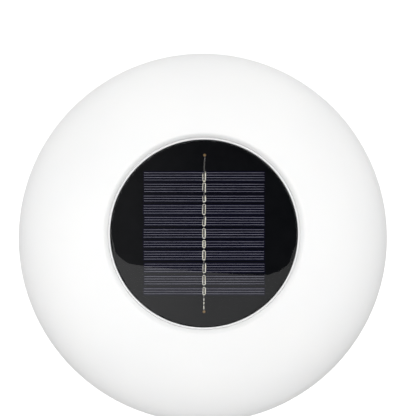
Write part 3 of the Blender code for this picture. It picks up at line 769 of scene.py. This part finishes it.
def make_cell(number, low, high, fingers):
    """One silicon strip. Its cross-section, with a raised silver line at each finger, runs along X, and
    the lines stop a little short of the strip's ends."""
    bm = bmesh.new()
    y0, y1 = low.y * 1000, high.y * 1000
    z0 = low.z * 1000
    z1 = high.z * 1000
    raise_mm = 0.022
    half_w = 0.115
    middle = (y0 + y1) / 2
    tilt = RND.uniform(-0.0011, 0.0011)  # the strips are laid by hand
    shift = RND.uniform(-0.25, 0.25)
    x_end = CELL_W / 2 + RND.uniform(-0.25, 0.15)
    xs = [-x_end, -x_end + 0.7, x_end - 0.7, x_end]
    lines = [middle + PITCH * (i - (fingers - 1) / 2) for i in range(fingers)]
    section = [(y0, z1)]
    for y in lines:
        section += [(y - half_w, z1), (y - half_w, z1 + raise_mm), (y + half_w, z1 + raise_mm), (y + half_w, z1)]
    section += [(y1, z1), (y1, z0), (y0, z0)]
    rows = []
    for i, x in enumerate(xs):
        row = []
        for y, z in section:
            if i in (0, 3) and z > z1:
                z = z1  # no line at the very ends
            row.append(bm.verts.new((x + shift, y + tilt * x, z)))
        rows.append(row)
    n = len(section)
    for i in range(3):
        for j in range(n):
            k = (j + 1) % n
            quad = (rows[i][j], rows[i][k], rows[i + 1][k], rows[i + 1][j])
            if i != 1 and section[j][1] >= z1 and section[k][1] >= z1:
                pass
            face = bm.faces.new(quad)
            on_line = section[j][1] > z1 or section[k][1] > z1
            face.material_index = 1 if on_line and i == 1 else 0
    bmesh.ops.remove_doubles(bm, verts=bm.verts, dist=1e-4)
    # the ends are filled with one face each
    for row_x in (0, -1):
        edges = [e for e in bm.edges if e.is_boundary and (e.verts[0].co.x < shift) == (row_x == 0)]
        bmesh.ops.contextual_create(bm, geom=edges)
    bmesh.ops.dissolve_degenerate(bm, dist=1e-5, edges=bm.edges)
    piece = finish(bm, f"silicon_strip_{number:02d}", SILICON, FINGER, node=f"solar_cell_{number:02d}", smooth=False)
    tone = piece.data.attributes.new("tone", "FLOAT", "FACE")
    value = RND.random()
    tone.data.foreach_set("value", [value] * len(piece.data.polygons))
    return lines, tilt, shift


cell_boxes = []
for number, fingers in enumerate(FINGERS, 1):
    low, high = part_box(f"solar_cell_{number:02d}")
    make_cell(number, low, high, fingers)
    cell_boxes.append((low.y * 1000, high.y * 1000))

array_half = cell_boxes[0][1]


def tape():
    """The tinned tape: flat over the strips, then down to the board at each end, a little wavy."""
    bm = bmesh.new()
    half, thick = 0.46, 0.14
    low, flat = 157.35, 157.75
    end = 62.6 - 1.0
    ys = []
    y = -end
    while y < end:
        ys.append(y)
        y += 1.5
    ys.append(end)
    rows = []
    wob = [RND.uniform(-0.10, 0.10) for _ in ys]
    for i, y in enumerate(ys):
        t = abs(y) - array_half
        z = flat if t < 0.4 else (low if t > 3.0 else flat + (low - flat) * (t - 0.4) / 2.6)
        x = wob[i] * 0.5 + 0.25 * (y / end) + (0.35 if y > 0 else 0.1) * max(0.0, (abs(y) - array_half) / 12.0)
        w = half * (1.0 + 0.06 * math.sin(y * 0.9))
        rows.append(
            [
                bm.verts.new((x + dx, y, above(z + dz)))
                for dx, dz in ((-w, 0), (w, 0), (w, thick * 0.75), (w * 0.7, thick), (-w * 0.7, thick), (-w, thick * 0.75))
            ]
        )
    for a, b in zip(rows, rows[1:]):
        for j in range(6):
            bm.faces.new((a[j], a[(j + 1) % 6], b[(j + 1) % 6], b[j]))
    bm.faces.new(rows[0])
    bm.faces.new(reversed(rows[-1]))
    return finish(bm, "tape", TAPE, node="cell_ribbon", sharp=60)


tape()


# Which parts of each strip's solder ring are there, from the top strip down: left, right, low end, high end.
# Each is a width in mm, 0 where the solder runs thin and leaves the ring open.
RINGS = (
    (0.40, 0.64, 0.80, 0.0),
    (0.34, 0.60, 0.0, 0.32),
    (0.30, 0.66, 0.62, 0.0),
    (0.38, 0.50, 0.56, 0.30),
    (0.28, 0.64, 0.52, 0.0),
    (0.40, 0.60, 0.46, 0.30),
    (0.56, 0.60, 0.44, 0.48),
    (0.54, 0.44, 0.50, 0.52),
    (0.26, 0.62, 0.46, 0.0),
    (0.44, 0.54, 0.40, 0.40),
    (0.40, 0.58, 0.44, 0.32),
)


def bead(bm, path, width, z0, height):
    """A rounded ridge of solder along a path; its width swells and thins a little."""
    rows = []
    count = len(path)
    for i, (x, y) in enumerate(path):
        a, b = path[max(0, i - 1)], path[min(count - 1, i + 1)]
        along = Vector((b[0] - a[0], b[1] - a[1])).normalized()
        side = Vector((-along.y, along.x))
        swell = 0.78 + 0.34 * RND.random()
        taper = min(1.0, 0.35 + 0.65 * min(i, count - 1 - i) / 1.5)
        half = width * 0.7 * swell * taper
        row = []
        for k in range(7):
            t = math.pi * k / 6
            off, dz = -math.cos(t) * half, math.sin(t) * height * taper
            row.append(bm.verts.new((x + side.x * off, y + side.y * off, z0 + dz)))
        rows.append(row)
    for a, b in zip(rows, rows[1:]):
        for j in range(6):
            bm.faces.new((a[j], b[j], b[j + 1], a[j + 1]))
        bm.faces.new((a[6], b[6], b[0], a[0]))
    bm.faces.new(rows[0])
    bm.faces.new(reversed(rows[-1]))


def solder_pad(number, y0, y1):
    """The solder that holds the tape to one strip: beads down both edges of the tape, joined over it at
    one end or both, and uneven as hand soldering leaves them."""
    bm = bmesh.new()
    z0 = above(157.70)
    left_w, right_w, low_w, high_w = RINGS[number - 1]
    low = y0 + 0.45 + RND.uniform(0, 0.35)
    high = y1 - 0.45 - RND.uniform(0, 0.35)
    x_left, x_right = -1.06 + RND.uniform(-0.10, 0.10), 1.02 + RND.uniform(-0.10, 0.10)
    lean = RND.uniform(-0.18, 0.10)

    def run(x0, ya, x1, yb, steps):
        return [
            (
                x0 + (x1 - x0) * i / steps + RND.uniform(-0.07, 0.07),
                ya + (yb - ya) * i / steps,
            )
            for i in range(steps + 1)
        ]

    span = high - low
    start = low if low_w else low + span * RND.uniform(0.05, 0.3)
    stop = high if high_w else high - span * RND.uniform(0.05, 0.35)
    bead(bm, run(x_left + lean, start, x_left - lean, stop, 10), left_w, z0, 0.26)
    bead(bm, run(x_right + lean, low, x_right - lean, high, 10), right_w, z0, 0.30)
    for y, width in ((low, low_w), (high, high_w)):
        if width:
            bead(bm, run(x_left, y, x_right, y + RND.uniform(-0.2, 0.2), 6), width, z0 + 0.10, 0.24)
    bmesh.ops.recalc_face_normals(bm, faces=bm.faces)
    finish(bm, f"solder_pad_{number:02d}", PASTE, body="cap", slot="tinned_copper", sharp=70)


for number, (y0, y1) in enumerate(cell_boxes, 1):
    solder_pad(number, y0, y1)


def solder_run():
    """Three small runs of solder on the tape's lower tail."""
    bm = bmesh.new()
    for y_from, y_to, width in ((-51.8, -54.0, 0.50), (-55.0, -56.8, 0.46), (-57.8, -60.8, 0.54)):
        path = [(-0.14 + RND.uniform(-0.06, 0.06), y_from + (y_to - y_from) * i / 6) for i in range(7)]
        bead(bm, path, width, above(157.46), 0.20)
    bmesh.ops.recalc_face_normals(bm, faces=bm.faces)
    finish(bm, "solder_run", PASTE, body="cap", slot="tinned_copper", sharp=70)


solder_run()

for side, name, node in ((1, "joint_top", "solder_joint_top"), (-1, "joint_bottom", "solder_joint_bottom")):
    z = BOARD_TOP
    lathe(
        name,
        fillet(
            raised(
                [
                    (0, z - 1.2),
                    (0.8, z - 1.2),
                    (0.8, z + 0.12),
                    (1.25, z + 0.14, 0.1),
                    (0.95, z + 0.72, 0.3),
                    (0.5, z + 0.98, 0.3),
                    (0, z + 1.02),
                ]
            ),
            3,
        ),
        SOLDER,
        32,
        False,
        (0.45 if side > 0 else -0.05, side * 62.6),
        node=node,
        sharp=60,
    )


def make_resin():
    """Clear dome cast over the board and its strips: a long slow crown and a rolled edge short of the rim."""
    under, edge, crown, r_edge, r_roll = 157.06, 158.85, 159.9, 74.35, 73.75
    count = 40
    dome = []
    for i in range(count + 1):
        t = 1 - i / count
        r = r_roll * t
        dome.append((r, edge + (crown - edge) * (1 - t**2)))
    profile = raised([(0, under), (r_edge, under), (r_edge, edge - 0.6)])
    # the roll at the edge is a quarter of a flattened circle that meets the dome smoothly
    for i in range(1, 12):
        a = math.pi / 2 * i / 12
        profile.append(
            (r_roll + (r_edge - r_roll) * math.cos(a), above(edge - 0.6 + 0.6 * math.sin(a)))
        )
    profile += raised(dome)
    return lathe("resin", profile, RESIN, 256, False, node="panel_resin", sharp=50)


resin = make_resin()
resin.visible_shadow = False

# ================================================================ bay cover, gasket, button
cover = lathe(
    "bay_cover",
    fillet(
        raised(
            [
                (0, 127.7),
                (59.4, 127.7, 0.3),
                (59.4, 125.2, 0.9),
                (45.0, 125.2),
                (44.4, 125.6, 0.3),
                (43.8, 125.2),
                (0, 125.2),
            ]
        ),
        4,
    ),
    BLACK_ABS,
    160,
    False,
    node="module_cover",
)
lens_screws = [
    (36.2 * math.cos(math.radians(a)), 36.2 * math.sin(math.radians(a)))
    for a in (90, 210, 330)
]
BUTTON_Y, SWITCH_Y = -47.5, -36.5
carve(
    cover,
    [
        ("UNION", rods([(0.0, BUTTON_Y)], 6.6, above(122.7), above(131.7), 48)),
        ("DIFFERENCE", rods([(0.0, BUTTON_Y)], 4.6, above(121.0), above(134.0), 40)),
        ("DIFFERENCE", rods(posts, 1.9, above(124.0), above(129.0))),
        ("DIFFERENCE", rods([(14.0, -18.0)], 2.2, above(124.0), above(129.0))),
        ("DIFFERENCE", rods(lens_screws, 1.15, above(124.0), above(127.1))),
    ],
)
lathe(
    "bay_gasket",
    fillet(raised([(57.6, 128.0, 0.2), (59.2, 128.0, 0.2), (59.2, 128.7, 0.2), (57.6, 128.7, 0.2)]), 3),
    SILICONE,
    160,
    node="cover_gasket",
)

# ================================================================ remaining CAD nodes keep their shape
KEEP = {
    "battery_holder": BLACK_ABS,
    "battery_cell_1": WRAP,
    "battery_cell_2": WRAP,
    "battery_spring_1": STEEL,
    "battery_spring_2": STEEL,
    "battery_contact": TAPE,
    "control_board": GREEN,
    "charge_chip": CHIP,
    "inductor": CHIP,
    "capacitor": CAN,
    "power_switch": CHIP,
    "power_button": RUBBER,
    "led_board": LAMP_WHITE,
    "led_1": PHOSPHOR,
    "led_2": PHOSPHOR,
    "led_3": PHOSPHOR,
    "led_4": PHOSPHOR,
    "led_lens": FROSTED,
    "panel_lead_red": RED,
    "panel_lead_black": BLACK_WIRE,
    "battery_lead": RED,
    "lamp_lead": BLACK_WIRE,
    **{f"cover_screw_{i}": STEEL for i in range(1, 5)},
    **{f"board_screw_{i}": STEEL for i in range(1, 3)},
    **{f"lens_screw_{i}": STEEL for i in range(1, 4)},
}
for name, mat in KEEP.items():
    node = frame["nodes"][name]
    if node.material_slots:
        for s in node.material_slots:
            s.material = mat
    else:
        node.data.materials.append(mat)

# ================================================================ stage, light, camera
GLOBE_CENTRE = Vector((0.0, 0.0, ZC * MM))


def add_stage_plane(name, corners, mat):
    mesh = bpy.data.meshes.new(name)
    mesh.from_pydata([tuple(c) for c in corners], [], [tuple(range(len(corners)))])
    mesh.materials.append(mat)
    piece = bpy.data.objects.new(name, mesh)
    COLLECTION.objects.link(piece)
    return piece


floor_mat, tree, bsdf = new_material("studio_floor")
bsdf.inputs["Base Color"].default_value = (0.94, 0.94, 0.94, 1.0)
bsdf.inputs["Roughness"].default_value = 0.9
bsdf.inputs["Specular IOR Level"].default_value = 0.1
bsdf.inputs["Emission Color"].default_value = (1.0, 1.0, 1.0, 1.0)
bsdf.inputs["Emission Strength"].default_value = 0.10
S = 6.0
white_floor = add_stage_plane("studio_floor", [(-S, -S, 0), (S, -S, 0), (S, S, 0), (-S, S, 0)], floor_mat)
# The floor's bounce comes from a darker sheet just under it, which shapes the ball's edge against the white.
white_floor.visible_diffuse = False
white_floor.visible_glossy = False
white_floor.visible_transmission = False
white_floor.visible_shadow = False
bounce_mat, tree, bsdf = new_material("studio_bounce")
bsdf.inputs["Base Color"].default_value = (0.10, 0.10, 0.10, 1.0)
bsdf.inputs["Roughness"].default_value = 0.9
bsdf.inputs["Specular IOR Level"].default_value = 0.1
bounce = add_stage_plane("studio_bounce", [(-S, -S, -0.0006), (S, -S, -0.0006), (S, S, -0.0006), (-S, S, -0.0006)], bounce_mat)
bounce.visible_camera = False

world = bpy.data.worlds.new("studio")
world.use_nodes = True
world.node_tree.nodes["Background"].inputs["Color"].default_value = (1.0, 1.0, 1.0, 1.0)
world.node_tree.nodes["Background"].inputs["Strength"].default_value = 0.5
bpy.context.scene.world = world


def area_light(name, place, target, size, power, glossy=True):
    data = bpy.data.lights.new(name, "AREA")
    data.shape = "DISK"
    data.size = size
    data.energy = power
    lamp = bpy.data.objects.new(name, data)
    lamp.location = place
    lamp.rotation_euler = (Vector(target) - Vector(place)).to_track_quat("-Z", "Y").to_euler()
    COLLECTION.objects.link(lamp)
    lamp.visible_glossy = glossy
    lamp.visible_transmission = glossy
    return lamp


SOFTBOXES = (  # azimuth and elevation in degrees, watts
    (0, 15, 6.5),
    (45, 15, 15.6),
    (90, 15, 10.0),
    (135, 15, 13.3),
    (180, 15, 11.1),
    (225, 45, 6.8),
    (270, 45, 12.3),
    (315, 45, 8.9),
)
for azimuth, elevation, watts in SOFTBOXES:
    az, el = math.radians(azimuth), math.radians(elevation)
    area_light(
        f"softbox_{azimuth}",
        (2.0 * math.cos(el) * math.cos(az), 2.0 * math.cos(el) * math.sin(az), 0.17 + 2.0 * math.sin(el)),
        (0, 0, 0.17),
        0.9,
        watts,
        glossy=False,
    )

def card_material(name, stops):
    """A card whose glow changes along X: stops are (x in metres, strength)."""
    mat = bpy.data.materials.new(name)
    mat.use_nodes = True
    tree = mat.node_tree
    tree.nodes.clear()
    out = tree.nodes.new("ShaderNodeOutputMaterial")
    glow = tree.nodes.new("ShaderNodeEmission")
    split = tree.nodes.new("ShaderNodeSeparateXYZ")
    tree.links.new(coords(tree), split.inputs["Vector"])
    total = None
    for (x0, s0), (x1, s1) in zip(stops, stops[1:]):
        step = remap(tree, split.outputs["X"], 0.0 if total else s0, s1 - s0 if total else s1, x0, x1)
        if total is None:
            total = step
        else:
            add = tree.nodes.new("ShaderNodeMath")
            add.operation = "ADD"
            tree.links.new(total, add.inputs[0])
            tree.links.new(step, add.inputs[1])
            total = add.outputs[0]
    tree.links.new(total, glow.inputs["Strength"])
    tree.links.new(glow.outputs["Emission"], out.inputs["Surface"])
    return mat


def only_in_gloss(piece):
    piece.visible_camera = False
    piece.visible_diffuse = False
    piece.visible_shadow = False
    piece.visible_volume_scatter = False


DISTANCE = 0.909
ANGLE_X, ANGLE_Y = math.radians(0.29), math.radians(1.10)
FOCAL_PX = 938.0
cam_at = GLOBE_CENTRE + DISTANCE * Vector((-math.sin(ANGLE_X), -math.sin(ANGLE_Y), math.cos(ANGLE_Y))).normalized()
forward = (GLOBE_CENTRE - cam_at).normalized()
right = forward.cross(Vector((0, 1, 0))).normalized()
up = right.cross(forward).normalized()
aim = (forward + right * ((208.0 - 203.06) / FOCAL_PX) + up * ((236.85 - 208.0) / FOCAL_PX)).normalized()
right = aim.cross(up).normalized()
up = right.cross(aim).normalized()
cam_data = bpy.data.cameras.new("camera")
cam_data.sensor_width = 36.0
cam_data.lens = FOCAL_PX / 416.0 * 36.0
cam = bpy.data.objects.new("camera", cam_data)
rot = Matrix((right, up, -aim)).transposed()
cam.matrix_world = Matrix.Translation(cam_at) @ rot.to_4x4()
COLLECTION.objects.link(cam)
bpy.context.scene.camera = cam


def pixel_ray(px, py):
    x = (px - 208.0) / FOCAL_PX
    y = (208.0 - py) / FOCAL_PX
    return (aim + right * x + up * y).normalized()


def reflected(px, py, height=1.6):
    """Where the mirror image of a picture point on the resin's dome falls on a level card at this height."""
    ray = pixel_ray(px, py)
    z = above(159.5) * MM
    hit = cam_at + ray * ((z - cam_at.z) / ray.z)
    r2 = (hit.x**2 + hit.y**2) * 1e6
    slope = 2 * 1.05 / 73.75**2  # of the dome, per mm
    normal = Vector((hit.x * 1000 * slope, hit.y * 1000 * slope, 1.0)).normalized()
    out = ray - 2 * ray.dot(normal) * normal
    return hit + out * ((height - hit.z) / out.z)


edge = [reflected(*p) for p in ((100, 240), (113.6, 251.4), (121.4, 258.6), (128.6, 263.6), (141.4, 265.7), (170, 268.5), (200, 271.5), (235, 274.3), (262, 275.0), (270, 274.3), (280, 270.7), (290, 262.9), (303, 250))]
card = [tuple(p) for p in edge] + [
    (edge[-1].x + 0.12, edge[-1].y + 0.02, 1.6),
    (edge[-1].x + 0.12, edge[-1].y + 0.62, 1.6),
    (edge[0].x - 0.12, edge[0].y + 0.62, 1.6),
    (edge[0].x - 0.12, edge[0].y + 0.02, 1.6),
]
left_x, mid_x, right_x = reflected(121, 262).x, reflected(203, 275).x, reflected(290, 262).x
only_in_gloss(add_stage_plane("black_card", card, card_material("black_card", ((left_x, 0.13), (mid_x, 0.02), (right_x, 0.0)))))
W = 1.8
pale = card_material("pale_card", ((left_x, 0.88), (mid_x, 0.68), (right_x, 0.58)))
only_in_gloss(add_stage_plane("pale_card", [(-W, -W, 1.66), (W, -W, 1.66), (W, W, 1.66), (-W, W, 1.66)], pale))

bpy.context.scene.view_settings.view_transform = "Standard"
bpy.context.scene.view_settings.look = "None"
bpy.context.scene.view_settings.exposure = 0.0
